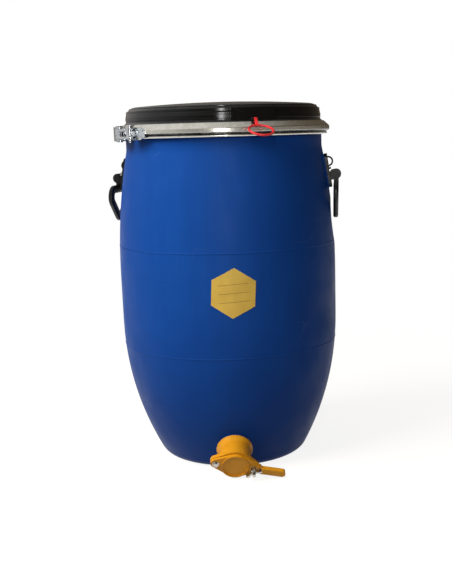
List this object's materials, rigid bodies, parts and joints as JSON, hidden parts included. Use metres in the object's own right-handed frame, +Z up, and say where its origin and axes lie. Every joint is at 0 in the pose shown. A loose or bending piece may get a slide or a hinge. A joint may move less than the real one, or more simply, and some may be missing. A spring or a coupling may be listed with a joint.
{
  "type": "honey settling tank",
  "caption": "Barrel-shaped open-top drum tank with a clamped lid, lever closing ring, drop handles and a swinging honey gate at the foot.",
  "frame": {"origin": "centre of the drum's base ring, on the floor", "axes": "+Z up along the drum's axis; the honey gate faces -Y; +X is on the right of someone facing the gate"},
  "size_m": [0.4274, 0.4243, 0.648],
  "materials": {
    "drum_blue": "blow-moulded polyethylene, satin",
    "label_yellow": "coated paper sticker, bare",
    "lid_black": "glossy black polyethylene",
    "seal_rubber": "black rubber",
    "seal_red": "red nylon",
    "galvanised": "galvanised sheet steel",
    "zinc_plated": "bright zinc-plated steel",
    "handle_black": "black nylon",
    "valve_yellow": "honey-yellow nylon",
    "stainless": "stainless steel"
  },
  "bodies": {
    "drum": {"drum_body": "drum_blue", "drum_label": "label_yellow", "handle_bracket_right": "handle_black", "handle_pin_right": "handle_black", "handle_bolts_right": "stainless", "handle_washers_right": "stainless", "handle_nuts_right": "stainless", "handle_bracket_left": "handle_black", "handle_pin_left": "handle_black", "handle_bolts_left": "stainless", "handle_washers_left": "stainless", "handle_nuts_left": "stainless", "valve_body": "valve_yellow", "valve_gasket_outer": "seal_rubber", "valve_gasket_inner": "seal_rubber", "valve_lock_nut": "valve_yellow", "gate_pivot_bolt": "stainless", "gate_pivot_nut": "stainless", "gate_pivot_washer": "stainless", "clamp_stud": "stainless"},
    "lid": {"lid": "lid_black", "lid_gasket": "seal_rubber"},
    "ring": {"clamp_ring": "galvanised", "ring_bracket_front": "zinc_plated", "ring_bracket_rear": "zinc_plated", "ring_rivets": "zinc_plated", "hook_pin": "zinc_plated", "fulcrum_pins": "zinc_plated"},
    "lever": {"closing_lever": "zinc_plated", "lever_pin": "zinc_plated"},
    "link": {"toggle_link": "zinc_plated"},
    "seal": {"seal_loop": "seal_red"},
    "grip_right": {"handle_grip_right": "handle_black"},
    "grip_left": {"handle_grip_left": "handle_black"},
    "gate": {"valve_gate": "valve_yellow", "gate_seal": "seal_rubber"},
    "stud_washer": {"clamp_washer": "stainless"},
    "wing": {"wing_nut": "stainless"}
  },
  "joints": [
    {"name": "lid_lift", "type": "slide", "parent": "drum", "child": "lid", "axis": [0, 0, 1], "range_m": [0, 0.12]},
    {"name": "ring_lift", "type": "slide", "parent": "lid", "child": "ring", "axis": [0, 0, 1], "range_m": [0, 0.1], "deforming": ["clamp_ring"]},
    {"name": "lever_swing", "type": "hinge", "parent": "ring", "child": "lever", "pos_m": [-0.1778, -0.08827, 0.597], "axis": [0, 0, 1], "range_deg": [0, 135]},
    {"name": "link_swing", "type": "hinge", "parent": "lever", "child": "link", "pos_m": [-0.18266, -0.07724, 0.597], "axis": [0, 0, 1], "range_deg": [-135, 0]},
    {"name": "seal_swing", "type": "hinge", "parent": "lid", "child": "seal", "pos_m": [0.05226, -0.17642, 0.6152], "axis": [-0.9588, -0.284, 0], "range_deg": [0, 100]},
    {"name": "grip_right_swing", "type": "hinge", "parent": "drum", "child": "grip_right", "pos_m": [0.2017, -0.02477, 0.51683], "axis": [-0.1219, -0.9925, 0], "range_deg": [0, 110]},
    {"name": "grip_left_swing", "type": "hinge", "parent": "drum", "child": "grip_left", "pos_m": [-0.198, 0.04571, 0.51683], "axis": [0.225, 0.9744, 0], "range_deg": [0, 110]},
    {"name": "gate_swing", "type": "hinge", "parent": "drum", "child": "gate", "pos_m": [-0.0341, -0.20335, 0.03511], "axis": [0, -0.9173, -0.3981], "range_deg": [0, 95]},
    {"name": "washer_slide", "type": "slide", "parent": "drum", "child": "stud_washer", "axis": [0, -0.9173, -0.3981], "range_m": [0, 0.00305]},
    {"name": "wing_spin", "type": "hinge", "parent": "stud_washer", "child": "wing", "pos_m": [0.03215, -0.20552, 0.0175], "axis": [0, -0.9173, -0.3981], "range_deg": [0, 1080]}
  ],
  "couplings": [
    {"joint": "link_swing", "follows": "lever_swing", "ratio": -1},
    {"joint": "washer_slide", "follows": "wing_spin", "m_per_rad": 0.00015915}
  ]
}
